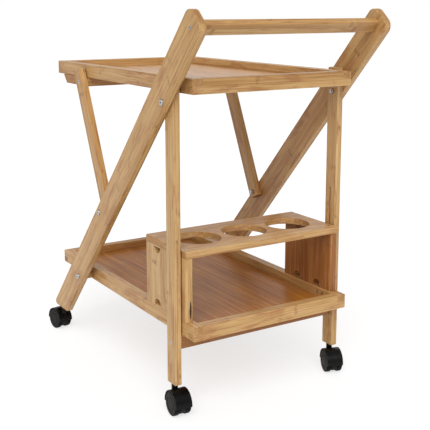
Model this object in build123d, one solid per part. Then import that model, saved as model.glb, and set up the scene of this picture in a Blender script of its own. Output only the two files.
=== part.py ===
from build123d import *
import os
from math import asin, atan2, cos, degrees, hypot, sin

os.makedirs("parts", exist_ok=True)

# Rolling utility cart with two trays, a push handle, a bottle holder and four casters.
# X runs along the cart with the push handle at +X, Y across it, Z up from the floor.
# Left is -Y and right is +Y, as seen by the person who pushes it.
# Everything is laid out about the middle of the trays, then moved so that the
# origin is at the middle of the whole cart's footprint. Millimetres.

# Trays: four rims around a let-in panel, half-lapped at the corners
TRAY_LENGTH = 650.0
TRAY_WIDTH = 380.0
UPPER_TRAY_TOP = 673.5
LOWER_TRAY_TOP = 192.6
RIM_HEIGHT = 30.0
RIM_THICKNESS = 21.0
PANEL_THICKNESS = 6.0
PANEL_DROP = 18.0
PANEL_TONGUE = 5.0
PANEL_TONGUE_DROP = 1.5
PANEL_TONGUE_GAP = 0.4
PANEL_FIELD_GAP = 0.3

# Frame boards: legs, posts, struts, handle and crossbar are sawn from one thickness
FRAME_BOARD = 15.0
LEG_WIDTH = 60.0
STICK_WIDTH = 32.0
SIDE_GAP = 2.0
EASE = 1.2

# Legs
FOOT_SETBACK = 42.5
LEG_PAST_POST_BOLT = 202.3
LEG_TOP_RADIUS = 18.0
LEG_TOE_RADIUS = 8.0
LEG_HEEL_RADIUS = 2.0
POST_BOLT_OFFSET = 17.7
STRUT_BOLT_UP_LEG = 385.0
STRUT_BOLT_OFFSET = 16.5
TRAY_BOLT_OFFSET = 12.9
TRAY_BOLT_RISE = 8.4

# Posts
POST_SETBACK = 61.0
POST_ABOVE_TRAY = 4.0
POST_BOLT_DROP = 17.0
POST_GROOVE_WIDTH = 4.0
POST_GROOVE_DEPTH = 6.0
POST_GROOVE_LENGTH = 120.0
POST_GROOVE_ABOVE_BOARD = 81.4

# Struts
STRUT_TOP_MARGIN = 29.0
STRUT_FOOT_MARGIN = 13.0
STRUT_CORNER_RADIUS = 2.0

# Handle
HANDLE_HEIGHT = 28.0
HANDLE_BELOW_LEG_END = 27.0
HANDLE_EASE = 3.0

# Cross rail under the far end of the upper tray
RAIL_SETBACK = 38.0
RAIL_WIDTH = 140.0
RAIL_THICKNESS = 20.0
RAIL_BEVEL = 19.0
RAIL_SCREW_INSET = 15.0
RAIL_SCREW_DROP = 10.5
RAIL_TRAY_SCREW_PITCH = 70.0

# Bottle holder
BOARD_TOP = 336.6
BOARD_THICKNESS = 14.0
BOARD_DEPTH = 168.0
BOARD_SETBACK = 27.5
BOTTLE_HOLES = 3
BOTTLE_HOLE = 97.0
BOTTLE_WEB_SHARE = 0.19
HOLE_EASE = 1.5
BOARD_SCREW_PITCH = 124.0
HOLDER_PANEL_THICKNESS = 18.0
HOLDER_PANEL_INSET = 0.75
HOLDER_PANEL_NOSE = 8.0
POCKET_RADIUS = 13.0
POCKET_LIP = 3.0
POCKET_PITCH = 70.0
POCKET_SCREW_COVER = 4.7

# Bolts with hexagon sockets, nuts and spacers
BOLT = 6.0
BOLT_HEAD = 12.5
BOLT_HEAD_HEIGHT = 3.2
BOLT_HEAD_EDGE = 1.4
BOLT_TIP_CHAMFER = 0.6
BOLT_HOLE_CLEARANCE = 0.2
THREAD_CLEARANCE = 0.05
SOCKET_ACROSS_FLATS = 4.0
SOCKET_DEPTH = 2.0
NUT_ACROSS_FLATS = 10.0
NUT_HEIGHT = 5.0
NUT_CHAMFER = 0.5
BOLT_PAST_NUT = 2.0
TRAY_BOLT_IN_RIM = 13.0
SPACER = 18.0

# Wood screws
SCREW = 4.0
SCREW_HEAD = 8.0
SCREW_HEAD_HEIGHT = 2.4
SCREW_TIP = 4.0
SCREW_POINT = 1.0
SCREW_CLEARANCE = 0.05
HOLE_OVERRUN = 1.0
CROSS_RECESS_LENGTH = 4.6
CROSS_RECESS_WIDTH = 1.1
CROSS_RECESS_DEPTH = 1.5
HANDLE_SCREW_LENGTH = 50.0
END_GRAIN_SCREW_LENGTH = 45.0
SCREW_BITE = 18.0
POST_SCREW_BITE = 10.0
POST_SCREW_PITCH = 16.0
POST_SCREW_DROP = 9.0
WASHER = 10.0

# Twin-wheel casters
WHEEL = 49.0
WHEEL_WIDTH = 10.5
WHEEL_EDGE = 2.5
WHEEL_INNER_EDGE = 1.2
WHEEL_CAP = 30.0
WHEEL_CAP_GROOVE = 1.6
WHEEL_CAP_GROOVE_DEPTH = 0.8
WHEEL_SIDE_GAP = 1.0
WEB_THICKNESS = 13.0
WEB_SETBACK = 0.5
WEB_FLOOR_GAP = 8.0
FENDER_GAP = 1.0
FENDER_WALL = 2.2
FENDER_SPAN = 190.0
FENDER_EASE = 0.8
COLLAR = 13.0
COLLAR_ABOVE_FENDER = 6.3
COLLAR_BELOW_FENDER = 20.0
COLLAR_GAP = 0.5
TRAIL = 17.0
STEM = 8.0
STEM_IN_WOOD = 25.0
STEM_IN_COLLAR = 22.0
STEM_CHAMFER = 0.8
AXLE = 6.0
AXLE_IN_WHEEL = 8.0
BLIND_END_GAP = 0.5
BEARING_CLEARANCE = 0.05
# Direction in which each caster trails, degrees from +X towards +Y
HEADINGS = {
    "near_left": -4.0,
    "near_right": -20.0,
    "far_left": 188.0,
    "far_right": 172.0,
}

SIDES = {"left": -1, "right": 1}

# Caster sizes and heights
WHEEL_RADIUS = WHEEL / 2
WEB_RADIUS = WHEEL_RADIUS - WEB_SETBACK
FENDER_INNER = WHEEL_RADIUS + FENDER_GAP
FENDER_OUTER = FENDER_INNER + FENDER_WALL
COLLAR_TOP = WHEEL_RADIUS + FENDER_OUTER + COLLAR_ABOVE_FENDER
FRAME_BOTTOM = COLLAR_TOP + COLLAR_GAP

# Planes across the cart, from the middle outwards
TRAY_SIDE = TRAY_WIDTH / 2
RIM_MIDDLE_Y = TRAY_SIDE - RIM_THICKNESS / 2
STICK_INNER = TRAY_SIDE + SIDE_GAP
STICK_OUTER = STICK_INNER + FRAME_BOARD
LEG_OUTER = STICK_OUTER + FRAME_BOARD
POST_MIDDLE_Y = (STICK_INNER + STICK_OUTER) / 2
LEG_MIDDLE_Y = (STICK_OUTER + LEG_OUTER) / 2
PANEL_MIDDLE_Y = TRAY_SIDE - HOLDER_PANEL_THICKNESS / 2

# Heights
UPPER_TRAY_BOTTOM = UPPER_TRAY_TOP - RIM_HEIGHT
LOWER_TRAY_BOTTOM = LOWER_TRAY_TOP - RIM_HEIGHT
BOARD_BOTTOM = BOARD_TOP - BOARD_THICKNESS
RAIL_BOTTOM = UPPER_TRAY_BOTTOM - RAIL_THICKNESS
CROSSBAR_BOTTOM = LOWER_TRAY_BOTTOM - STICK_WIDTH
POST_TOP = UPPER_TRAY_TOP + POST_ABOVE_TRAY

# Places along the cart
NEAR_END = TRAY_LENGTH / 2
FAR_END = -TRAY_LENGTH / 2
POST_X = NEAR_END - POST_SETBACK
FOOT_X = FAR_END + FOOT_SETBACK
BOARD_X = NEAR_END - BOARD_SETBACK - BOARD_DEPTH / 2
RAIL_FAR_X = FAR_END + RAIL_SETBACK
RAIL_NEAR_X = RAIL_FAR_X + RAIL_WIDTH

# The leg slopes so that the post bolt lies its offset below the leg's middle line
POST_BOLT_Z = UPPER_TRAY_BOTTOM - POST_BOLT_DROP
FOOT_TO_BOLT = hypot(POST_X - FOOT_X, POST_BOLT_Z - FRAME_BOTTOM)
LEG_ANGLE = atan2(POST_BOLT_Z - FRAME_BOTTOM, POST_X - FOOT_X) + asin(POST_BOLT_OFFSET / FOOT_TO_BOLT)
POST_BOLT_UP_LEG = FOOT_TO_BOLT * cos(asin(POST_BOLT_OFFSET / FOOT_TO_BOLT))
LEG_END = POST_BOLT_UP_LEG + LEG_PAST_POST_BOLT


def on_leg(along, across=0.0):
    """X and Z of a point on the leg: along it from the foot, and across it towards the lower side."""
    x = FOOT_X + along * cos(LEG_ANGLE) + across * sin(LEG_ANGLE)
    z = FRAME_BOTTOM + along * sin(LEG_ANGLE) - across * cos(LEG_ANGLE)
    return x, z


def leg_foot_x(across):
    """X where a line on the leg, offset across it, meets the level of the foot."""
    return FOOT_X + across / sin(LEG_ANGLE)


# Bolt places in the side frames
STRUT_BOLT_X, STRUT_BOLT_Z = on_leg(STRUT_BOLT_UP_LEG, -STRUT_BOLT_OFFSET)
TRAY_BOLT_Z = LOWER_TRAY_BOTTOM + TRAY_BOLT_RISE
TRAY_BOLT_X = leg_foot_x(TRAY_BOLT_OFFSET) + (TRAY_BOLT_Z - FRAME_BOTTOM) * cos(LEG_ANGLE) / sin(LEG_ANGLE)
HANDLE_X, HANDLE_Z = on_leg(LEG_END - HANDLE_BELOW_LEG_END)
RAIL_SCREW_X = RAIL_NEAR_X - RAIL_SCREW_INSET
RAIL_SCREW_Z = UPPER_TRAY_BOTTOM - RAIL_SCREW_DROP
STRUT_ANGLE = atan2(RAIL_SCREW_Z - STRUT_BOLT_Z, RAIL_SCREW_X - STRUT_BOLT_X)
CROSSBAR_SCREW_Z = CROSSBAR_BOTTOM + STICK_WIDTH / 2

# Bottle holes share the board's length with the webs between them and the two ends
BOTTLE_WEB = BOTTLE_WEB_SHARE * (TRAY_WIDTH - BOTTLE_HOLES * BOTTLE_HOLE)
BOTTLE_PITCH = BOTTLE_HOLE + BOTTLE_WEB

# Lengths and holes of the fasteners
BOLT_LENGTH = 2 * FRAME_BOARD + NUT_HEIGHT + BOLT_PAST_NUT
TRAY_BOLT_LENGTH = LEG_OUTER - TRAY_SIDE + TRAY_BOLT_IN_RIM
RAIL_TRAY_SCREW_LENGTH = RAIL_THICKNESS + SCREW_BITE
POST_SCREW_LENGTH = RIM_THICKNESS + SIDE_GAP + POST_SCREW_BITE
BOARD_SCREW_LENGTH = BOARD_THICKNESS + SCREW_BITE
POCKET_SCREW_UP = POCKET_LIP + BOARD_THICKNESS - POCKET_SCREW_COVER
POCKET_SCREW_DOWN = POCKET_LIP + SCREW_BITE
BOLT_HOLE = BOLT + 2 * BOLT_HOLE_CLEARANCE
THREAD_HOLE = BOLT + 2 * THREAD_CLEARANCE
RAIL_TRAY_SCREW_X = (RAIL_FAR_X + RAIL_BEVEL + RAIL_NEAR_X) / 2

UP = (0, 0, 1)
DOWN = (0, 0, -1)
OUT = (0, 1, 0)
IN = (0, -1, 0)


def pair(pitch):
    """Offsets of two like things, evenly either side of a middle."""
    return (-pitch / 2, pitch / 2)


# ---- shapes shared by several pieces ----

def block(x0, x1, y0, y1, z0, z1):
    """Box between two corners, whichever way round they are given."""
    return Pos((x0 + x1) / 2, (y0 + y1) / 2, (z0 + z1) / 2) * Box(abs(x1 - x0), abs(y1 - y0), abs(z1 - z0))


def side_board(outline, radii, y_inner, thickness):
    """Board with an outline in X and Z, rounded corners and eased faces, on the right side."""
    wire = Plane.XZ * FilletPolyline(*outline, radius=radii, close=True)
    board = extrude(make_face(wire), amount=thickness, dir=(0, 1, 0))
    board = fillet(board.edges().filter_by(Axis.Y, reverse=True), EASE)
    return Pos(0, y_inner, 0) * board


def on_side(shape, side):
    """A shape made for the right side, left there or mirrored to the left side."""
    return shape if side > 0 else mirror(shape, about=Plane.XZ)


def rod(diameter, start, end):
    """Round rod between two points."""
    line = Vector(*end) - Vector(*start)
    return Plane(origin=start, z_dir=line) * Cylinder(
        diameter / 2, line.length, align=(Align.CENTER, Align.CENTER, Align.MIN)
    )


def placed(shape, start, direction):
    """A fastener drawn pointing down -Z from the origin, moved to a start point and direction."""
    return Plane(origin=start, z_dir=Vector(*direction) * -1) * shape


def bolt(length):
    """Bolt with a low rounded head and a hexagon socket, its head seated at the origin."""
    head = Cylinder(BOLT_HEAD / 2, BOLT_HEAD_HEIGHT, align=(Align.CENTER, Align.CENTER, Align.MIN))
    head = fillet(head.edges().group_by(Axis.Z)[-1], BOLT_HEAD_EDGE)
    socket = extrude(RegularPolygon(SOCKET_ACROSS_FLATS / 2, 6, major_radius=False), amount=-SOCKET_DEPTH)
    head -= Pos(0, 0, BOLT_HEAD_HEIGHT) * socket
    shank = Cylinder(BOLT / 2, length, align=(Align.CENTER, Align.CENTER, Align.MAX))
    return head + chamfer(shank.edges().group_by(Axis.Z)[0], BOLT_TIP_CHAMFER)


def screw(length):
    """Countersunk wood screw with a cross recess, its head level with the origin."""
    head = Cone(SCREW / 2, SCREW_HEAD / 2, SCREW_HEAD_HEIGHT, align=(Align.CENTER, Align.CENTER, Align.MAX))
    for turn in (0, 90):
        slot = Box(CROSS_RECESS_LENGTH, CROSS_RECESS_WIDTH, CROSS_RECESS_DEPTH)
        head -= Rot(0, 0, turn) * Pos(0, 0, -CROSS_RECESS_DEPTH / 2) * slot
    shank = Pos(0, 0, -SCREW_HEAD_HEIGHT) * Cylinder(
        SCREW / 2, length - SCREW_HEAD_HEIGHT - SCREW_TIP, align=(Align.CENTER, Align.CENTER, Align.MAX)
    )
    tip = Pos(0, 0, SCREW_TIP - length) * Cone(
        SCREW_POINT / 2, SCREW / 2, SCREW_TIP, align=(Align.CENTER, Align.CENTER, Align.MAX)
    )
    return head + shank + tip


def screw_hole(length):
    """Hole that a countersunk screw sits in: touching under the head, clear round the shank."""
    head = Cone(SCREW / 2, SCREW_HEAD / 2, SCREW_HEAD_HEIGHT, align=(Align.CENTER, Align.CENTER, Align.MAX))
    mouth = Cylinder(SCREW_HEAD / 2, HOLE_OVERRUN, align=(Align.CENTER, Align.CENTER, Align.MIN))
    shank = rod(SCREW + 2 * SCREW_CLEARANCE, (0, 0, -length - BLIND_END_GAP), (0, 0, 0))
    return head + mouth + shank


def nut():
    """Hexagon nut standing on the origin."""
    body = extrude(RegularPolygon(NUT_ACROSS_FLATS / 2, 6, major_radius=False), amount=NUT_HEIGHT)
    body = chamfer(body.edges().group_by(Axis.Z)[-1], NUT_CHAMFER)
    return body - rod(THREAD_HOLE, (0, 0, -HOLE_OVERRUN), (0, 0, NUT_HEIGHT + HOLE_OVERRUN))


def ring(outer, inner, height):
    """Flat ring standing on the origin."""
    align = (Align.CENTER, Align.CENTER, Align.MIN)
    return Cylinder(outer / 2, height, align=align) - Cylinder(inner / 2, height, align=align)


# ---- trays ----

def tray_pieces(top, name):
    """Four half-lapped rims, and the panel whose thinner tongue sits in their grooves."""
    bottom = top - RIM_HEIGHT
    middle = top - RIM_HEIGHT / 2
    frame = block(FAR_END, NEAR_END, -TRAY_SIDE, TRAY_SIDE, bottom, top)
    frame = fillet(frame.edges().filter_by(Axis.Z), EASE)
    inner_x = NEAR_END - RIM_THICKNESS
    inner_y = TRAY_SIDE - RIM_THICKNESS
    frame -= block(-inner_x, inner_x, -inner_y, inner_y, bottom, top)
    frame = fillet(frame.edges().filter_by(Axis.Z, reverse=True), EASE)
    panel_top = top - PANEL_DROP
    tongue_z = (panel_top - PANEL_THICKNESS, panel_top - PANEL_TONGUE_DROP)
    tongue_x = inner_x + PANEL_TONGUE
    tongue_y = inner_y + PANEL_TONGUE
    groove_x = tongue_x + PANEL_TONGUE_GAP
    groove_y = tongue_y + PANEL_TONGUE_GAP
    frame -= block(-groove_x, groove_x, -groove_y, groove_y, *tongue_z)
    field_x = inner_x - PANEL_FIELD_GAP
    field_y = inner_y - PANEL_FIELD_GAP
    field = block(-field_x, field_x, -field_y, field_y, tongue_z[0], panel_top)
    pieces = {f"{name}_panel": field + block(-tongue_x, tongue_x, -tongue_y, tongue_y, *tongue_z)}
    for side_name, side in SIDES.items():
        upper_half = block(FAR_END, NEAR_END, side * inner_y, side * TRAY_SIDE, middle, top)
        lower_half = block(-inner_x, inner_x, side * inner_y, side * TRAY_SIDE, bottom, middle)
        pieces[f"{name}_{side_name}_rim"] = frame & (upper_half + lower_half)
    for end_name, end in (("near", 1), ("far", -1)):
        upper_half = block(end * inner_x, end * NEAR_END, -inner_y, inner_y, middle, top)
        lower_half = block(end * inner_x, end * NEAR_END, -TRAY_SIDE, TRAY_SIDE, bottom, middle)
        pieces[f"{name}_{end_name}_rim"] = frame & (upper_half + lower_half)
    return pieces


# ---- side frames ----

def leg_blank():
    half = LEG_WIDTH / 2
    outline = [
        (leg_foot_x(-half), FRAME_BOTTOM),
        (leg_foot_x(half), FRAME_BOTTOM),
        on_leg(LEG_END, half),
        on_leg(LEG_END, -half),
    ]
    radii = [LEG_TOE_RADIUS, LEG_HEEL_RADIUS, LEG_TOP_RADIUS, LEG_TOP_RADIUS]
    return side_board(outline, radii, STICK_OUTER, FRAME_BOARD)


def post_blank():
    half = STICK_WIDTH / 2
    post = block(POST_X - half, POST_X + half, STICK_INNER, STICK_OUTER, FRAME_BOTTOM, POST_TOP)
    post = fillet(post.edges(), EASE)
    groove_top = BOARD_TOP + POST_GROOVE_ABOVE_BOARD
    groove = block(
        POST_X - POST_GROOVE_WIDTH / 2,
        POST_X + POST_GROOVE_WIDTH / 2,
        STICK_INNER,
        STICK_INNER + POST_GROOVE_DEPTH,
        groove_top - POST_GROOVE_LENGTH,
        groove_top,
    )
    return post - groove


def strut_blank():
    half = STICK_WIDTH / 2
    run = (cos(STRUT_ANGLE), sin(STRUT_ANGLE))
    aside = (sin(STRUT_ANGLE), -cos(STRUT_ANGLE))
    length = hypot(RAIL_SCREW_X - STRUT_BOLT_X, RAIL_SCREW_Z - STRUT_BOLT_Z)
    outline = []
    for along, across in (
        (-STRUT_FOOT_MARGIN, -half),
        (-STRUT_FOOT_MARGIN, half),
        (length + STRUT_TOP_MARGIN, half),
        (length + STRUT_TOP_MARGIN, -half),
    ):
        x = STRUT_BOLT_X + along * run[0] + across * aside[0]
        z = STRUT_BOLT_Z + along * run[1] + across * aside[1]
        outline.append((x, z))
    return side_board(outline, [STRUT_CORNER_RADIUS] * 4, STICK_INNER, FRAME_BOARD)


def handle_bar():
    bar = Box(HANDLE_HEIGHT, 2 * STICK_OUTER, FRAME_BOARD)
    bar = fillet(bar.edges().filter_by(Axis.Y), HANDLE_EASE)
    return Pos(HANDLE_X, 0, HANDLE_Z) * Rot(0, -degrees(LEG_ANGLE), 0) * bar


def cross_rail():
    """Flat rail whose far edge is bevelled back towards its underside."""
    outline = [
        (RAIL_FAR_X, UPPER_TRAY_BOTTOM),
        (RAIL_FAR_X + RAIL_BEVEL, RAIL_BOTTOM),
        (RAIL_NEAR_X, RAIL_BOTTOM),
        (RAIL_NEAR_X, UPPER_TRAY_BOTTOM),
    ]
    wire = Plane.XZ * FilletPolyline(*outline, radius=EASE, close=True)
    rail = extrude(make_face(wire), amount=2 * STICK_INNER, dir=(0, 1, 0))
    return Pos(0, -STICK_INNER, 0) * rail


def crossbar():
    half = FRAME_BOARD / 2
    bar = block(POST_X - half, POST_X + half, -STICK_INNER, STICK_INNER, CROSSBAR_BOTTOM, LOWER_TRAY_BOTTOM)
    return fillet(bar.edges().filter_by(Axis.Y), EASE)


# ---- bottle holder ----

def bottle_board():
    half = BOARD_DEPTH / 2
    board = block(BOARD_X - half, BOARD_X + half, -TRAY_SIDE, TRAY_SIDE, BOARD_BOTTOM, BOARD_TOP)
    board = fillet(board.edges(), EASE)
    for place in range(BOTTLE_HOLES):
        y = (place - (BOTTLE_HOLES - 1) / 2) * BOTTLE_PITCH
        below = (BOARD_X, y, BOARD_BOTTOM - HOLE_OVERRUN)
        above = (BOARD_X, y, BOARD_TOP + HOLE_OVERRUN)
        board -= rod(BOTTLE_HOLE, below, above)
    rims = board.edges().filter_by(GeomType.CIRCLE).filter_by(lambda edge: edge.radius > EASE)
    return fillet(rims, HOLE_EASE)


def holder_panel():
    """Side panel of the bottle holder, on the right, with half-moon screw pockets top and bottom."""
    half = BOARD_DEPTH / 2 - HOLDER_PANEL_INSET
    inner = TRAY_SIDE - HOLDER_PANEL_THICKNESS
    panel = block(BOARD_X - half, BOARD_X + half, inner, TRAY_SIDE, LOWER_TRAY_TOP, BOARD_BOTTOM)
    upright = panel.edges().filter_by(Axis.Z)
    panel = fillet(upright.group_by(Axis.X)[-1], HOLDER_PANEL_NOSE)
    panel = fillet(panel.edges().filter_by(Axis.Z).group_by(Axis.X)[0], EASE)
    for offset in pair(POCKET_PITCH):
        for flat, down in ((BOARD_BOTTOM - POCKET_LIP, -1), (LOWER_TRAY_TOP + POCKET_LIP, 1)):
            disc = Pos(BOARD_X + offset, PANEL_MIDDLE_Y, flat) * Rot(90, 0, 0) * Cylinder(
                POCKET_RADIUS, 2 * HOLDER_PANEL_THICKNESS
            )
            keep = block(
                BOARD_X + offset - 2 * POCKET_RADIUS,
                BOARD_X + offset + 2 * POCKET_RADIUS,
                inner - HOLDER_PANEL_THICKNESS,
                TRAY_SIDE + HOLDER_PANEL_THICKNESS,
                flat,
                flat + 2 * down * POCKET_RADIUS,
            )
            panel -= disc & keep
    return panel


# ---- casters ----

def caster_pieces(name, x, y):
    """Stem, hood, axle and two wheels of one twin-wheel caster, trailing along its heading."""
    trail_face = Plane.XZ
    width = WEB_THICKNESS + 2 * WHEEL_SIDE_GAP + 2 * WHEEL_WIDTH
    disc = extrude(trail_face * Circle(WEB_RADIUS), amount=WEB_THICKNESS / 2, both=True)
    disc -= block(-WHEEL, WHEEL, -WHEEL, WHEEL, -WHEEL, WEB_FLOOR_GAP - WHEEL_RADIUS)
    start = 90 - FENDER_SPAN / 2
    arch = CenterArc((0, 0), FENDER_INNER, start, FENDER_SPAN)
    arch_top = CenterArc((0, 0), FENDER_OUTER, start, FENDER_SPAN)
    section = make_face([arch, arch_top, Line(arch @ 0, arch_top @ 0), Line(arch @ 1, arch_top @ 1)])
    fender = extrude(trail_face * section, amount=width / 2, both=True)
    outer_edges = fender.edges().filter_by(GeomType.CIRCLE).filter_by(
        lambda edge: edge.radius > FENDER_OUTER - FENDER_WALL / 2
    )
    fender = fillet(outer_edges, FENDER_EASE)
    web_fill = extrude(trail_face * section_under_fender(start), amount=WEB_THICKNESS / 2, both=True)
    hood = Pos(TRAIL, 0, WHEEL_RADIUS) * (disc + fender + web_fill)
    collar_length = COLLAR_ABOVE_FENDER + COLLAR_BELOW_FENDER
    hood += rod(COLLAR, (0, 0, COLLAR_TOP - collar_length), (0, 0, COLLAR_TOP))
    bore = STEM + 2 * BEARING_CLEARANCE
    hood -= rod(bore, (0, 0, COLLAR_TOP - STEM_IN_COLLAR - BLIND_END_GAP), (0, 0, FRAME_BOTTOM))
    hood -= rod(AXLE, (TRAIL, -width, WHEEL_RADIUS), (TRAIL, width, WHEEL_RADIUS))

    wheel_inner = WEB_THICKNESS / 2 + WHEEL_SIDE_GAP
    wheel_outer = wheel_inner + WHEEL_WIDTH
    axle_reach = wheel_inner + AXLE_IN_WHEEL
    axle = rod(AXLE, (TRAIL, -axle_reach, WHEEL_RADIUS), (TRAIL, axle_reach, WHEEL_RADIUS))
    wheel = rod(WHEEL, (TRAIL, wheel_inner, WHEEL_RADIUS), (TRAIL, wheel_outer, WHEEL_RADIUS))
    wheel = fillet(wheel.edges().group_by(Axis.Y)[-1], WHEEL_EDGE)
    wheel = fillet(wheel.edges().group_by(Axis.Y)[0], WHEEL_INNER_EDGE)
    bore = AXLE + 2 * BEARING_CLEARANCE
    wheel -= rod(bore, (TRAIL, 0, WHEEL_RADIUS), (TRAIL, axle_reach + BLIND_END_GAP, WHEEL_RADIUS))
    cap_face = (TRAIL, wheel_outer, WHEEL_RADIUS)
    groove = rod(WHEEL_CAP, (TRAIL, wheel_outer - WHEEL_CAP_GROOVE_DEPTH, WHEEL_RADIUS), cap_face)
    groove -= rod(WHEEL_CAP - 2 * WHEEL_CAP_GROOVE, (TRAIL, wheel_inner, WHEEL_RADIUS), cap_face)
    wheel -= groove

    stem = rod(STEM, (0, 0, COLLAR_TOP - STEM_IN_COLLAR), (0, 0, FRAME_BOTTOM + STEM_IN_WOOD))
    stem = chamfer(stem.edges(), STEM_CHAMFER)
    turned = Pos(x, y, 0) * Rot(0, 0, HEADINGS[name])
    return {
        f"{name}_caster_stem": Pos(x, y, 0) * stem,
        f"{name}_caster_hood": turned * hood,
        f"{name}_caster_axle": turned * axle,
        f"{name}_left_wheel": turned * mirror(wheel, about=Plane.XZ),
        f"{name}_right_wheel": turned * wheel,
    }


def section_under_fender(start):
    """Sector that joins the web to the inside of the fender."""
    arch = CenterArc((0, 0), (FENDER_INNER + FENDER_OUTER) / 2, start, FENDER_SPAN)
    return make_face([arch, Line(arch @ 0, (0, 0)), Line(arch @ 1, (0, 0))])


def stem_hole(x, y):
    return rod(STEM, (x, y, FRAME_BOTTOM - HOLE_OVERRUN), (x, y, FRAME_BOTTOM + STEM_IN_WOOD))


# ---- one side frame with its fasteners, drawn on the right ----

parts = {}
parts.update(tray_pieces(UPPER_TRAY_TOP, "upper"))
parts.update(tray_pieces(LOWER_TRAY_TOP, "lower"))
parts["handle"] = handle_bar()
parts["cross_rail"] = cross_rail()
parts["crossbar"] = crossbar()
parts["bottle_board"] = bottle_board()
for side_name, side in SIDES.items():
    parts[f"{side_name}_leg"] = on_side(leg_blank(), side)
    parts[f"{side_name}_post"] = on_side(post_blank(), side)
    parts[f"{side_name}_strut"] = on_side(strut_blank(), side)
    parts[f"{side_name}_holder_panel"] = on_side(holder_panel(), side)


def right_fasteners():
    """Every fastener of the right half: node, shape, and the holes it needs in which pieces.

    Piece names without a side are the shared ones; "*" stands for the side's own name."""
    rows = []
    post_bolt = (POST_X, LEG_OUTER, POST_BOLT_Z)
    strut_bolt = (STRUT_BOLT_X, LEG_OUTER, STRUT_BOLT_Z)
    tray_bolt = (TRAY_BOLT_X, LEG_OUTER, TRAY_BOLT_Z)
    above = (0, 0, HOLE_OVERRUN)
    for kind, start in (("post", post_bolt), ("strut", strut_bolt)):
        hole = placed(rod(BOLT_HOLE, (0, 0, -2 * FRAME_BOARD - HOLE_OVERRUN), above), start, IN)
        rows.append((f"{kind}_bolts", placed(bolt(BOLT_LENGTH), start, IN), hole, ("*_leg", f"*_{kind}")))
        seat = (start[0], STICK_INNER, start[2])
        rows.append((f"{kind}_nuts", placed(mirror(nut(), about=Plane.XY), seat, IN), None, ()))
    through_leg = placed(rod(BOLT_HOLE, (0, 0, -FRAME_BOARD - HOLE_OVERRUN), above), tray_bolt, IN)
    in_rim = placed(rod(THREAD_HOLE, (0, 0, -TRAY_BOLT_LENGTH - BLIND_END_GAP), (0, 0, 0)), tray_bolt, IN)
    rows.append(("tray_bolts", placed(bolt(TRAY_BOLT_LENGTH), tray_bolt, IN), in_rim, ("lower_*_rim",)))
    seat = (TRAY_BOLT_X, STICK_OUTER, TRAY_BOLT_Z)
    spacer = mirror(ring(SPACER, BOLT_HOLE, FRAME_BOARD + SIDE_GAP), about=Plane.XY)
    rows.append(("tray_spacers", placed(spacer, seat, IN), through_leg, ("*_leg",)))

    screws = [
        ("handle_screws", (HANDLE_X, LEG_OUTER, HANDLE_Z), IN, HANDLE_SCREW_LENGTH, ("*_leg", "handle")),
        ("crossbar_screws", (POST_X, STICK_OUTER, CROSSBAR_SCREW_Z), IN, END_GRAIN_SCREW_LENGTH,
         ("*_post", "crossbar")),
        ("rail_screws", (RAIL_SCREW_X, STICK_OUTER, RAIL_SCREW_Z), IN, END_GRAIN_SCREW_LENGTH,
         ("*_strut", "cross_rail")),
    ]
    for offset in pair(RAIL_TRAY_SCREW_PITCH):
        start = (RAIL_TRAY_SCREW_X + offset, RIM_MIDDLE_Y, RAIL_BOTTOM)
        screws.append(("rail_tray_screws", start, UP, RAIL_TRAY_SCREW_LENGTH, ("cross_rail", "upper_*_rim")))
    washer = mirror(ring(WASHER, SCREW + 2 * BOLT_HOLE_CLEARANCE, SIDE_GAP), about=Plane.XY)
    for tray, top in (("upper", UPPER_TRAY_TOP), ("lower", LOWER_TRAY_TOP)):
        for offset in pair(POST_SCREW_PITCH):
            start = (POST_X + offset, TRAY_SIDE - RIM_THICKNESS, top - POST_SCREW_DROP)
            screws.append(("post_screws", start, OUT, POST_SCREW_LENGTH, (f"{tray}_*_rim", "*_post")))
            seat = (POST_X + offset, TRAY_SIDE, top - POST_SCREW_DROP)
            rows.append(("post_washers", placed(washer, seat, OUT), None, ()))
    for offset in pair(BOARD_SCREW_PITCH):
        start = (BOARD_X + offset, PANEL_MIDDLE_Y, BOARD_TOP)
        screws.append(("board_screws", start, DOWN, BOARD_SCREW_LENGTH, ("bottle_board", "*_holder_panel")))
    for offset in pair(POCKET_PITCH):
        start = (BOARD_X + offset, PANEL_MIDDLE_Y, BOARD_BOTTOM - POCKET_LIP)
        screws.append(("pocket_screws", start, UP, POCKET_SCREW_UP, ("*_holder_panel", "bottle_board")))
        start = (BOARD_X + offset, PANEL_MIDDLE_Y, LOWER_TRAY_TOP + POCKET_LIP)
        screws.append(("pocket_screws", start, DOWN, POCKET_SCREW_DOWN, ("*_holder_panel", "lower_*_rim")))
    for node, start, direction, length, pieces in screws:
        hole = placed(screw_hole(length), start, direction)
        rows.append((node, placed(screw(length), start, direction), hole, pieces))
    return rows


groups = {}
holes = {}
for side_name, side in SIDES.items():
    for node, shape, hole, pieces in right_fasteners():
        groups.setdefault(node, []).append(on_side(shape, side))
        for piece in pieces:
            holes.setdefault(piece.replace("*", side_name), []).append(on_side(hole, side))

CASTER_PLACES = {
    "near_left": (POST_X, -POST_MIDDLE_Y, "left_post"),
    "near_right": (POST_X, POST_MIDDLE_Y, "right_post"),
    "far_left": (FOOT_X, -LEG_MIDDLE_Y, "left_leg"),
    "far_right": (FOOT_X, LEG_MIDDLE_Y, "right_leg"),
}
for name, (x, y, wood) in CASTER_PLACES.items():
    holes[wood].append(stem_hole(x, y))
    parts.update(caster_pieces(name, x, y))
for piece, cutters in holes.items():
    parts[piece] -= cutters
for node, solids in groups.items():
    parts[node] = Compound(children=solids)

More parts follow.
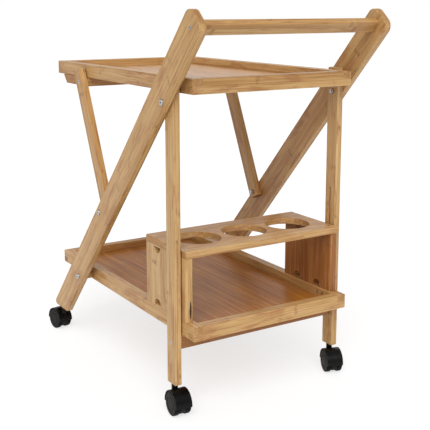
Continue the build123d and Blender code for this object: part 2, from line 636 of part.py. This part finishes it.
# Move the origin to the middle of the footprint and write each piece
boxes = [shape.bounding_box() for shape in parts.values()]
middle_x = (min(box.min.X for box in boxes) + max(box.max.X for box in boxes)) / 2
middle_y = (min(box.min.Y for box in boxes) + max(box.max.Y for box in boxes)) / 2
for node, shape in parts.items():
    export_step(Pos(-middle_x, -middle_y, 0) * shape, f"parts/{node}.step")
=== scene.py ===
import math

import bpy
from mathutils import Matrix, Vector


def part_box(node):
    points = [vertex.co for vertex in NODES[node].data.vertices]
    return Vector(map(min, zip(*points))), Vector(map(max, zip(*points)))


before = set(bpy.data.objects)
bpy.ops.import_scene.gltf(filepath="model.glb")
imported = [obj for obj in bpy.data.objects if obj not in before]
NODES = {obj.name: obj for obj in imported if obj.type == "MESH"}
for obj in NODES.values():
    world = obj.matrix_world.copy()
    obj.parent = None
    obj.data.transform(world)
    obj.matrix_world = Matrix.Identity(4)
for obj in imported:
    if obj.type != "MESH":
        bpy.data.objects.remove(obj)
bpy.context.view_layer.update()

MM = 0.001


# ---- places read from the frame ----

def middle(node):
    """Middle of a CAD node's box."""
    low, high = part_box(node)
    return (low + high) / 2


def leg_direction():
    """Direction along the legs, from the handle and the foot end of the left leg."""
    low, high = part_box("left_leg")
    foot = Vector((middle("far_left_caster_stem").x, 0, low.z))
    grip = Vector((middle("handle").x, 0, middle("handle").z))
    return (grip - foot).normalized()


def strut_direction():
    """Direction along the struts, from their lower bolt to their upper screw."""
    lower = middle("strut_bolts")
    upper = middle("rail_screws")
    return Vector((upper.x - lower.x, 0, upper.z - lower.z)).normalized()


ALONG_CART = Vector((1, 0, 0))
ACROSS_CART = Vector((0, 1, 0))
UPWARD = Vector((0, 0, 1))


# ---- small helpers for node trees ----

class Tree:
    """Adds nodes to a node tree and links them, one call each."""

    def __init__(self, tree):
        self.tree = tree

    def add(self, kind, settings=None, **inputs):
        node = self.tree.nodes.new(kind)
        for name, value in (settings or {}).items():
            setattr(node, name, value)
        for name, value in inputs.items():
            self.feed(node, name.replace("_", " "), value)
        return node

    def feed(self, node, name, value):
        """Links or sets an input, found by its name, or by its number written as text."""
        socket = node.inputs[int(name)] if name.isdigit() else node.inputs[name]
        if isinstance(value, bpy.types.NodeSocket):
            self.tree.links.new(value, socket)
        else:
            socket.default_value = value

    def math(self, operation, *values):
        node = self.add("ShaderNodeMath", {"operation": operation})
        for index, value in enumerate(values):
            self.feed(node, str(index), value)
        return node.outputs[0]

    def vector(self, operation, a, b):
        node = self.add("ShaderNodeVectorMath", {"operation": operation})
        self.feed(node, "0", a)
        self.feed(node, "1", b)
        return node.outputs["Value" if operation == "DOT_PRODUCT" else "Vector"]

    def combine(self, x, y, z):
        return self.add("ShaderNodeCombineXYZ", X=x, Y=y, Z=z).outputs[0]

    def split(self, vector):
        return self.add("ShaderNodeSeparateXYZ", Vector=vector).outputs

    def noise(self, vector, scale, detail=2.0, roughness=0.5, distortion=0.0):
        node = self.add("ShaderNodeTexNoise", Vector=vector, Scale=scale, Detail=detail,
                        Roughness=roughness, Distortion=distortion)
        return node.outputs["Fac"]

    def random(self, vector):
        node = self.add("ShaderNodeTexWhiteNoise", {"noise_dimensions": "3D"}, Vector=vector)
        return node.outputs["Value"]

    def remap(self, value, low, high, to_low=0.0, to_high=1.0, smooth=False):
        settings = {"interpolation_type": "SMOOTHSTEP" if smooth else "LINEAR"}
        node = self.add("ShaderNodeMapRange", settings, Value=value)
        self.feed(node, "From Min", low)
        self.feed(node, "From Max", high)
        self.feed(node, "To Min", to_low)
        self.feed(node, "To Max", to_high)
        return node.outputs["Result"]

    def mix(self, factor, a, b):
        node = self.add("ShaderNodeMix", {"data_type": "RGBA"})
        self.feed(node, "0", factor)
        self.feed(node, "6", a)
        self.feed(node, "7", b)
        return node.outputs[2]

    def ramp(self, value, stops):
        node = self.add("ShaderNodeValToRGB", Fac=value)
        elements = node.color_ramp.elements
        while len(elements) < len(stops):
            elements.new(1.0)
        for element, (position, colour) in zip(elements, stops):
            element.position = position
            element.color = colour
        return node.outputs["Color"]

    def tint(self, colour, mask, strength, towards):
        """Colour drawn towards another where a mask is bright."""
        return self.mix(self.math("MULTIPLY", mask, strength), colour, towards)

    def bump(self, height, strength, distance):
        node = self.add("ShaderNodeBump", Height=height, Strength=strength, Distance=distance)
        return node.outputs["Normal"]


def new_group(name, inputs, outputs):
    """Shader node group with named inputs (name, kind, default) and outputs (name, kind)."""
    group = bpy.data.node_groups.new(name, "ShaderNodeTree")
    for label, kind, value in inputs:
        socket = group.interface.new_socket(label, in_out="INPUT", socket_type=kind)
        socket.default_value = value
    for label, kind in outputs:
        group.interface.new_socket(label, in_out="OUTPUT", socket_type=kind)
    tree = Tree(group)
    entry = group.nodes.new("NodeGroupInput")
    leave = group.nodes.new("NodeGroupOutput")
    return group, tree, entry.outputs, leave


def srgb(red, green, blue):
    """Linear colour of an 8-bit sRGB one."""
    values = []
    for channel in (red, green, blue):
        c = channel / 255
        values.append(c / 12.92 if c <= 0.04045 else ((c + 0.055) / 1.055) ** 2.4)
    return (*values, 1.0)


# ---- shared effects ----

STRIP_WIDTH = 20 * MM
LAYER_DEPTH = 5.2 * MM
KNUCKLE_SPACING = 330 * MM
KNUCKLE_WIDTH = 7 * MM
KNUCKLE_WAVE = 16 * MM
PORES_PER_METRE = 900.0
# How far apart two neighbouring seeds start, in metres
SEED_STEP = 0.737


def make_bamboo_grain():
    """Glued bamboo strips of one board: a tone for each strip, fibres along it, slow streaks, soft
    blotches, knuckles and glue lines, with pores and a mask for the sawn ends.

    Along and Across lie along the grain and across the strips, and each seed starts elsewhere."""
    group, tree, given, leave = new_group(
        "bamboo_grain",
        [("Along", "NodeSocketVector", (1, 0, 0)), ("Across", "NodeSocketVector", (0, 1, 0)),
         ("Seed", "NodeSocketFloat", 0.0), ("Strip Width", "NodeSocketFloat", STRIP_WIDTH),
         ("Layer Depth", "NodeSocketFloat", LAYER_DEPTH),
         ("Knuckle Spacing", "NodeSocketFloat", KNUCKLE_SPACING),
         ("Knuckle Width", "NodeSocketFloat", KNUCKLE_WIDTH)],
        [("Strip Tone", "NodeSocketFloat"), ("Fibre", "NodeSocketFloat"), ("Streak", "NodeSocketFloat"),
         ("Blotch", "NodeSocketFloat"), ("Knuckle", "NodeSocketFloat"), ("Glue Line", "NodeSocketFloat"),
         ("Pores", "NodeSocketFloat"), ("End Grain", "NodeSocketFloat")],
    )
    place = tree.add("ShaderNodeTexCoord").outputs
    depth = tree.vector("CROSS_PRODUCT", given["Along"], given["Across"])
    start = tree.math("MULTIPLY", given["Seed"], SEED_STEP)
    x, y, z = [
        tree.math("ADD", tree.vector("DOT_PRODUCT", place["Object"], way), start)
        for way in (given["Along"], given["Across"], depth)
    ]
    across = tree.math("DIVIDE", y, given["Strip Width"])
    layer = tree.math("DIVIDE", z, given["Layer Depth"])
    cell = tree.combine(tree.math("FLOOR", across), tree.math("FLOOR", layer), 3.7)
    tone = tree.random(cell)
    turn = tree.random(tree.vector("ADD", cell, (11.3, 5.1, 2.9)))
    boldness = tree.random(tree.vector("ADD", cell, (4.2, 8.8, 1.4)))

    def stretched(along, aside, spread):
        """Coordinates drawn out along the grain, with their own start for each strip."""
        drawn = tree.combine(tree.math("MULTIPLY", x, along), tree.math("MULTIPLY", y, aside),
                             tree.math("MULTIPLY", z, aside))
        return tree.vector("ADD", drawn, tree.combine(tree.math("MULTIPLY", turn, spread), 0.0, 0.0))

    knuckle_x = tree.math("ADD", tree.math("DIVIDE", x, given["Knuckle Spacing"]),
                          tree.math("MULTIPLY", turn, 7.0))
    off_centre = tree.math("SUBTRACT", tree.math("FRACT", knuckle_x), 0.5)
    distance = tree.math("MULTIPLY", off_centre, given["Knuckle Spacing"])
    wave = tree.math("SUBTRACT", tree.noise(stretched(30.0, 260.0, 5.0), 1.0), 0.5)
    waved = tree.math("ADD", distance, tree.math("MULTIPLY", wave, KNUCKLE_WAVE))
    ratio = tree.math("DIVIDE", tree.math("ABSOLUTE", waved), given["Knuckle Width"])
    torn = tree.noise(stretched(90.0, 500.0, 9.0), 1.0, 3.0, 0.6)
    knuckle = tree.math("MULTIPLY", tree.remap(ratio, 0.1, 1.0, 1.0, 0.0, smooth=True),
                        tree.remap(torn, 0.35, 0.62))
    knuckle = tree.math("MULTIPLY", knuckle, tree.remap(boldness, 0.25, 0.9, 0.25, 1.0))

    off_middle = tree.math("ABSOLUTE", tree.math("SUBTRACT", tree.math("FRACT", across), 0.5))
    dots = tree.add("ShaderNodeTexVoronoi", {"feature": "F1"}, Vector=tree.combine(x, y, z),
                    Scale=PORES_PER_METRE)
    facing = tree.math("ABSOLUTE", tree.vector("DOT_PRODUCT", place["Normal"], given["Along"]))
    marks = {
        "Strip Tone": tone,
        "Fibre": tree.noise(stretched(9.0, 620.0, 50.0), 1.0, 4.0, 0.62),
        "Streak": tree.noise(stretched(2.6, 120.0, 30.0), 1.0, 3.0, 0.55),
        "Blotch": tree.noise(stretched(11.0, 42.0, 13.0), 1.0, 4.0, 0.6, 0.4),
        "Knuckle": knuckle,
        "Glue Line": tree.remap(off_middle, 0.475, 0.5, smooth=True),
        "Pores": tree.remap(dots.outputs["Distance"], 0.18, 0.42, 1.0, 0.0),
        "End Grain": tree.remap(facing, 0.75, 0.95),
    }
    for label, value in marks.items():
        tree.feed(leave, label, value)
    return group


def make_edge_mask():
    """Bright along edges and corners, broken up by noise."""
    group, tree, given, leave = new_group(
        "edge_mask",
        [("Reach", "NodeSocketFloat", 0.002), ("Breakup", "NodeSocketFloat", 0.5)],
        [("Edge", "NodeSocketFloat")],
    )
    soft = tree.add("ShaderNodeBevel", {"samples": 6}, Radius=given["Reach"])
    sharp = tree.add("ShaderNodeNewGeometry")
    same = tree.vector("DOT_PRODUCT", soft.outputs["Normal"], sharp.outputs["Normal"])
    edge = tree.remap(same, 0.995, 0.90, smooth=True)
    place = tree.add("ShaderNodeTexCoord")
    noise = tree.noise(place.outputs["Object"], 90.0, 3.0)
    broken = tree.remap(noise, 0.35, 0.65)
    kept = tree.math("ADD", tree.math("MULTIPLY", broken, given["Breakup"]),
                     tree.math("SUBTRACT", 1.0, given["Breakup"]))
    tree.feed(leave, "Edge", tree.math("MULTIPLY", edge, kept))
    return group


def make_handling():
    """Unevenness from lacquer, moulding and hands: slow patches and a fine scatter."""
    group, tree, given, leave = new_group(
        "handling",
        [("Patch Size", "NodeSocketFloat", 0.08)],
        [("Patches", "NodeSocketFloat"), ("Scatter", "NodeSocketFloat")],
    )
    place = tree.add("ShaderNodeTexCoord")
    scale = tree.math("DIVIDE", 1.0, given["Patch Size"])
    tree.feed(leave, "Patches", tree.noise(place.outputs["Object"], scale, 3.0))
    tree.feed(leave, "Scatter", tree.noise(place.outputs["Object"], 1400.0, 2.0))
    return group


def make_drying_crack():
    """Dark upright crack, ragged at its sides and thin at its ends."""
    group, tree, given, leave = new_group(
        "drying_crack",
        [("Middle", "NodeSocketVector", (0, 0, 0)), ("Half Length", "NodeSocketFloat", 0.02),
         ("Half Width", "NodeSocketFloat", 0.0015)],
        [("Crack", "NodeSocketFloat")],
    )
    place = tree.add("ShaderNodeTexCoord").outputs["Object"]
    x, y, z = tree.split(tree.vector("SUBTRACT", place, given["Middle"]))
    ragged = tree.math("MULTIPLY", tree.math("SUBTRACT", tree.noise(place, 160.0, 2.0), 0.5), 1.4)
    beside = tree.math("ADD", tree.math("DIVIDE", y, given["Half Width"]), ragged)
    along = tree.math("DIVIDE", z, given["Half Length"])
    depth = tree.math("DIVIDE", x, given["Half Length"])
    offset = tree.combine(beside, along, depth)
    squares = tree.vector("DOT_PRODUCT", offset, offset)
    tree.feed(leave, "Crack", tree.remap(squares, 1.0, 0.55, smooth=True))
    return group


BAMBOO_GRAIN = make_bamboo_grain()
EDGE_MASK = make_edge_mask()
HANDLING = make_handling()
DRYING_CRACK = make_drying_crack()


# ---- materials ----

def new_material(name):
    material = bpy.data.materials.new(name)
    material.use_nodes = True
    material.node_tree.nodes.clear()
    tree = Tree(material.node_tree)
    shader = tree.add("ShaderNodeBsdfPrincipled")
    output = tree.add("ShaderNodeOutputMaterial")
    tree.feed(output, "Surface", shader.outputs[0])
    return material, tree, shader


def use(tree, group, **inputs):
    return tree.add("ShaderNodeGroup", {"node_tree": group}, **inputs).outputs


# How close two boards meet for the corner between them to get painted shade, which also stands for the
# dark joint line
CREVICE_SHADE_REACH = 5 * MM

FIBRE_BROWN = srgb(132, 84, 42)
KNUCKLE_BROWN = srgb(128, 76, 40)
CREVICE_SHADE_BROWN = srgb(92, 50, 22)
CRACK_BROWN = srgb(44, 22, 10)
BLOTCH_RED = srgb(160, 104, 62)
FIBRE_PALE = srgb(226, 196, 150)

# Deep, middle and pale tone of each kind of board; the amber and chestnut tones are partly painted
# shade, darker and redder for boards that sit in shade
TAN = (srgb(166, 120, 66), srgb(187, 144, 89), srgb(204, 166, 112))
PALE = (srgb(180, 138, 84), srgb(196, 157, 103), srgb(212, 179, 130))
AMBER_WITH_SHADE = (srgb(152, 104, 54), srgb(172, 124, 70), srgb(188, 144, 90))
CHESTNUT_WITH_SHADE = (srgb(126, 72, 28), srgb(148, 92, 42), srgb(168, 112, 58))
SHEET = (srgb(182, 132, 82), srgb(198, 150, 100), srgb(212, 168, 122))
DARK_SHEET = (srgb(130, 74, 18), srgb(158, 97, 28), srgb(184, 122, 44))


def bamboo(name, along, across, seed, tones=TAN, strip=STRIP_WIDTH, variety=0.35, roughness=0.42,
           coat=0.3, coat_roughness=0.22, knuckle_strength=0.85, crack=None):
    """Lacquered bamboo with its grain along one direction and its strips side by side across it.

    A crack is the middle, the half length and the half width of a dark drying crack."""
    material, tree, shader = new_material(name)
    grain = use(tree, BAMBOO_GRAIN, Along=along, Across=across, Seed=seed, Strip_Width=strip)
    hand = use(tree, HANDLING, Patch_Size=90 * MM)
    end = grain["End Grain"]
    shade = tree.math("ADD", tree.math("MULTIPLY", grain["Strip Tone"], variety),
                      tree.math("MULTIPLY", grain["Streak"], 1.3 - variety))
    colour = tree.ramp(shade, [(0.3, tones[0]), (0.62, tones[1]), (0.95, tones[2])])
    colour = tree.tint(colour, tree.remap(grain["Blotch"], 0.5, 0.64, smooth=True), 0.6, BLOTCH_RED)
    colour = tree.tint(colour, tree.remap(grain["Fibre"], 0.54, 0.64), 0.55, FIBRE_BROWN)
    colour = tree.tint(colour, tree.remap(grain["Fibre"], 0.47, 0.34), 0.3, FIBRE_PALE)
    colour = tree.tint(colour, grain["Knuckle"], knuckle_strength, KNUCKLE_BROWN)
    colour = tree.tint(colour, grain["Glue Line"], 0.3, FIBRE_BROWN)
    colour = tree.tint(colour, end, 0.25, FIBRE_BROWN)
    colour = tree.tint(colour, tree.math("MULTIPLY", grain["Pores"], end), 0.5, KNUCKLE_BROWN)
    if crack:
        opening = use(tree, DRYING_CRACK, Middle=crack[0], Half_Length=crack[1], Half_Width=crack[2])
        colour = tree.tint(colour, opening["Crack"], 0.95, CRACK_BROWN)
    # Painted shade in crevices and corners, from ambient occlusion, partly standing for the dark joint
    # lines between boards
    near = tree.add("ShaderNodeAmbientOcclusion", {"samples": 4}, Distance=CREVICE_SHADE_REACH)
    colour = tree.tint(colour, tree.remap(near.outputs["AO"], 0.6, 0.25), 0.55, CREVICE_SHADE_BROWN)
    tree.feed(shader, "Base Color", colour)
    rough = tree.math("ADD", tree.math("MULTIPLY", hand["Patches"], 0.14), roughness - 0.07)
    rough = tree.math("ADD", rough, tree.math("MULTIPLY", end, 0.2))
    tree.feed(shader, "Roughness", rough)
    height = tree.math("ADD", grain["Fibre"], tree.math("MULTIPLY", grain["Knuckle"], 0.8))
    height = tree.math("SUBTRACT", height, tree.math("MULTIPLY", grain["Glue Line"], 0.5))
    tree.feed(shader, "Normal", tree.bump(height, 0.25, 0.2 * MM))
    shader.inputs["Coat Weight"].default_value = coat
    shader.inputs["Coat Roughness"].default_value = coat_roughness
    shader.inputs["Specular IOR Level"].default_value = 0.2
    return material


def zinc(name):
    """Zinc-plated steel, faintly clouded, with a painted highlight that makes its edges brighter."""
    material, tree, shader = new_material(name)
    hand = use(tree, HANDLING, Patch_Size=4 * MM)
    edge = use(tree, EDGE_MASK, Reach=0.6 * MM)
    colour = tree.ramp(hand["Patches"], [(0.3, srgb(176, 178, 180)), (0.7, srgb(208, 210, 212))])
    # Painted highlight: edges drawn lighter where rounded edges would catch the light
    colour = tree.tint(colour, edge["Edge"], 0.5, srgb(232, 233, 235))
    tree.feed(shader, "Base Color", colour)
    tree.feed(shader, "Roughness", tree.remap(hand["Patches"], 0.2, 0.8, 0.18, 0.34))
    tree.feed(shader, "Normal", tree.bump(hand["Scatter"], 0.05, 0.1 * MM))
    shader.inputs["Metallic"].default_value = 1.0
    return material


def moulded(name, colour, worn, roughness, texture, gloss):
    """Black moulded plastic with a fine sparked texture and paler rubbed edges."""
    material, tree, shader = new_material(name)
    hand = use(tree, HANDLING, Patch_Size=12 * MM)
    edge = use(tree, EDGE_MASK, Reach=1.2 * MM, Breakup=0.6)
    shade = tree.mix(tree.remap(hand["Patches"], 0.3, 0.7, 0.0, 0.5), colour, worn)
    shade = tree.tint(shade, edge["Edge"], 0.6, worn)
    tree.feed(shader, "Base Color", shade)
    rough = tree.remap(hand["Patches"], 0.2, 0.8, roughness - 0.06, roughness + 0.08)
    tree.feed(shader, "Roughness", rough)
    tree.feed(shader, "Normal", tree.bump(hand["Scatter"], texture, 0.1 * MM))
    shader.inputs["Specular IOR Level"].default_value = gloss
    return material


def paint(node, material):
    """Gives a CAD node its material, in every slot."""
    slots = NODES[node].data.materials
    slots.clear()
    slots.append(material)


LEG = leg_direction()
STRUT = strut_direction()
ACROSS_LEG = LEG.cross(ACROSS_CART)
ACROSS_STRUT = STRUT.cross(ACROSS_CART)

GRAIN = {
    "handle": (ACROSS_CART, LEG),
    "cross_rail": (ACROSS_CART, ALONG_CART),
    "crossbar": (ACROSS_CART, UPWARD),
    "bottle_board": (ACROSS_CART, ALONG_CART),
}
for side in ("left", "right"):
    GRAIN[f"{side}_leg"] = (LEG, ACROSS_LEG)
    GRAIN[f"{side}_post"] = (UPWARD, ALONG_CART)
    GRAIN[f"{side}_strut"] = (STRUT, ACROSS_STRUT)
    GRAIN[f"{side}_holder_panel"] = (UPWARD, ALONG_CART)
for tray in ("upper", "lower"):
    for side in ("left", "right"):
        GRAIN[f"{tray}_{side}_rim"] = (ALONG_CART, UPWARD)
    for end in ("near", "far"):
        GRAIN[f"{tray}_{end}_rim"] = (ACROSS_CART, UPWARD)

# Tone of each board; the cross rail, crossbar, lower far rim and right holder panel get the darker amber
# and chestnut tones partly as painted shade, since they sit in shade under the trays and the bottle
# board
TONES = {
    "left_post": PALE,
    "right_post": PALE,
    "left_holder_panel": PALE,
    "right_holder_panel": CHESTNUT_WITH_SHADE,
    "cross_rail": AMBER_WITH_SHADE,
    "crossbar": CHESTNUT_WITH_SHADE,
    "lower_far_rim": AMBER_WITH_SHADE,
}

panel_low, panel_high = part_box("left_holder_panel")
CRACK_FROM_MIDDLE = 0.6 * MM
CRACK_ABOVE_FOOT = 26 * MM
CRACK_HALF_LENGTH = 20 * MM
CRACK_HALF_WIDTH = 2.6 * MM
crack_middle = (
    panel_high.x,
    (panel_low.y + panel_high.y) / 2 + CRACK_FROM_MIDDLE,
    panel_low.z + CRACK_ABOVE_FOOT,
)
CRACKS = {"left_holder_panel": (crack_middle, CRACK_HALF_LENGTH, CRACK_HALF_WIDTH)}

for number, (node, (along, across)) in enumerate(sorted(GRAIN.items()), start=1):
    tones = TONES.get(node, TAN)
    paint(node, bamboo(f"bamboo_{node}", along, across, float(number), tones, crack=CRACKS.get(node)))

# The tray panels are thin sheets of narrow strips
SHEET_STRIP = 11 * MM
paint("upper_panel", bamboo(
    "bamboo_upper_panel", ALONG_CART, ACROSS_CART, 41.0, SHEET, strip=SHEET_STRIP, variety=0.2,
    roughness=0.36, coat=0.3, coat_roughness=0.18, knuckle_strength=0.5,
))
paint("lower_panel", bamboo(
    "bamboo_lower_panel", ALONG_CART, ACROSS_CART, 42.0, DARK_SHEET, strip=SHEET_STRIP, variety=0.2,
    roughness=0.42, coat=0.1, coat_roughness=0.14, knuckle_strength=0.5,
))
paint("tray_spacers", bamboo("bamboo_tray_spacers", ACROSS_CART, UPWARD, 43.0))

ZINC = zinc("zinc_plated_steel")
HOOD_BLACK = moulded("caster_black_nylon", srgb(5, 5, 6), srgb(16, 16, 19), 0.27, 0.08, 0.2)
WHEEL_BLACK = moulded("wheel_black_nylon", srgb(5, 5, 6), srgb(14, 14, 16), 0.32, 0.06, 0.1)
for node in NODES:
    if node.endswith("_hood"):
        paint(node, HOOD_BLACK)
    elif node.endswith("_wheel"):
        paint(node, WHEEL_BLACK)
    elif node.endswith(("_bolts", "_nuts", "_screws", "_washers", "_stem", "_axle")):
        paint(node, ZINC)


# ---- floor, light and camera ----

FLOOR_HALF = 12.0
FLOOR_WHITE = (0.92, 0.92, 0.92, 1)
FLOOR_GLOW = 1.12
FLOOR_GLOW_SHARE = 0.62
SENSOR_WIDTH = 36.0


def pale_floor():
    """White floor that bounces light like paint, and looks partly lit from within to the camera, so
    that its shadows stay faint."""
    material, tree, shader = new_material("pale_floor")
    shader.inputs["Base Color"].default_value = FLOOR_WHITE
    shader.inputs["Roughness"].default_value = 0.9
    shader.inputs["Specular IOR Level"].default_value = 0.1
    glow = tree.add("ShaderNodeEmission", Strength=FLOOR_GLOW)
    blend = tree.add("ShaderNodeMixShader")
    seen = tree.add("ShaderNodeLightPath").outputs["Is Camera Ray"]
    tree.feed(blend, "0", tree.math("MULTIPLY", seen, FLOOR_GLOW_SHARE))
    tree.feed(blend, "1", shader.outputs[0])
    tree.feed(blend, "2", glow.outputs[0])
    output = tree.tree.nodes["Material Output"]
    tree.feed(output, "Surface", blend.outputs[0])
    return material


def make_floor():
    """Pale plain floor, wide enough for every view."""
    mesh = bpy.data.meshes.new("floor")
    corners = [(FLOOR_HALF * x, FLOOR_HALF * y, 0) for x, y in ((-1, -1), (1, -1), (1, 1), (-1, 1))]
    mesh.from_pydata(corners, [], [range(4)])
    floor = bpy.data.objects.new("floor", mesh)
    bpy.context.scene.collection.objects.link(floor)
    mesh.materials.append(pale_floor())


def soft_light(name, place, target, size, power):
    """Square area light at a place, aimed at a point."""
    lamp = bpy.data.lights.new(name, "AREA")
    lamp.size = size
    lamp.energy = power
    light = bpy.data.objects.new(name, lamp)
    light.location = place
    light.rotation_mode = "QUATERNION"
    light.rotation_quaternion = (Vector(target) - Vector(place)).to_track_quat("-Z", "Y")
    bpy.context.scene.collection.objects.link(light)


def sun(name, direction, angle, strength):
    """Broad soft light that falls evenly over the whole floor, travelling along a direction."""
    lamp = bpy.data.lights.new(name, "SUN")
    lamp.angle = math.radians(angle)
    lamp.energy = strength
    light = bpy.data.objects.new(name, lamp)
    light.rotation_mode = "QUATERNION"
    light.rotation_quaternion = Vector(direction).to_track_quat("-Z", "Y")
    bpy.context.scene.collection.objects.link(light)


def make_sky(backdrop, ambient):
    """White studio: a bright backdrop where it is seen directly, and a softer light from all round."""
    world = bpy.data.worlds.new("studio")
    world.use_nodes = True
    world.node_tree.nodes.clear()
    tree = Tree(world.node_tree)
    seen = tree.add("ShaderNodeLightPath").outputs["Is Camera Ray"]
    strength = tree.remap(seen, 0.0, 1.0, ambient, backdrop)
    background = tree.add("ShaderNodeBackground", Strength=strength)
    background.inputs["Color"].default_value = (1.0, 1.0, 1.0, 1.0)
    output = tree.add("ShaderNodeOutputWorld")
    tree.feed(output, "Surface", background.outputs[0])
    bpy.context.scene.world = world


def make_camera(place, azimuth, elevation, lens, shift):
    """Camera at a place, looking the way an azimuth and elevation round the cart say."""
    a, e = math.radians(azimuth), math.radians(elevation)
    back = Vector((math.sin(a) * math.cos(e), -math.cos(a) * math.cos(e), math.sin(e)))
    data = bpy.data.cameras.new("camera")
    data.lens = lens
    data.sensor_width = SENSOR_WIDTH
    data.shift_y = shift
    camera = bpy.data.objects.new("camera", data)
    camera.location = place
    camera.rotation_mode = "QUATERNION"
    camera.rotation_quaternion = (-back).to_track_quat("-Z", "Y")
    bpy.context.scene.collection.objects.link(camera)
    bpy.context.scene.camera = camera


make_floor()
make_sky(backdrop=1.0, ambient=0.46)
sun("key_daylight", direction=(-0.58, 0.40, -0.71), angle=50.0, strength=2.32)
soft_light("back_softbox", place=(-2.4, 1.5, 2.3), target=(0.0, 0.0, 0.5), size=2.0, power=12.0)
bpy.context.scene.view_settings.view_transform = "Standard"
make_camera((1.6556, -0.9973, 0.8031), azimuth=57.97, elevation=10.25, lens=72.39, shift=-0.12)
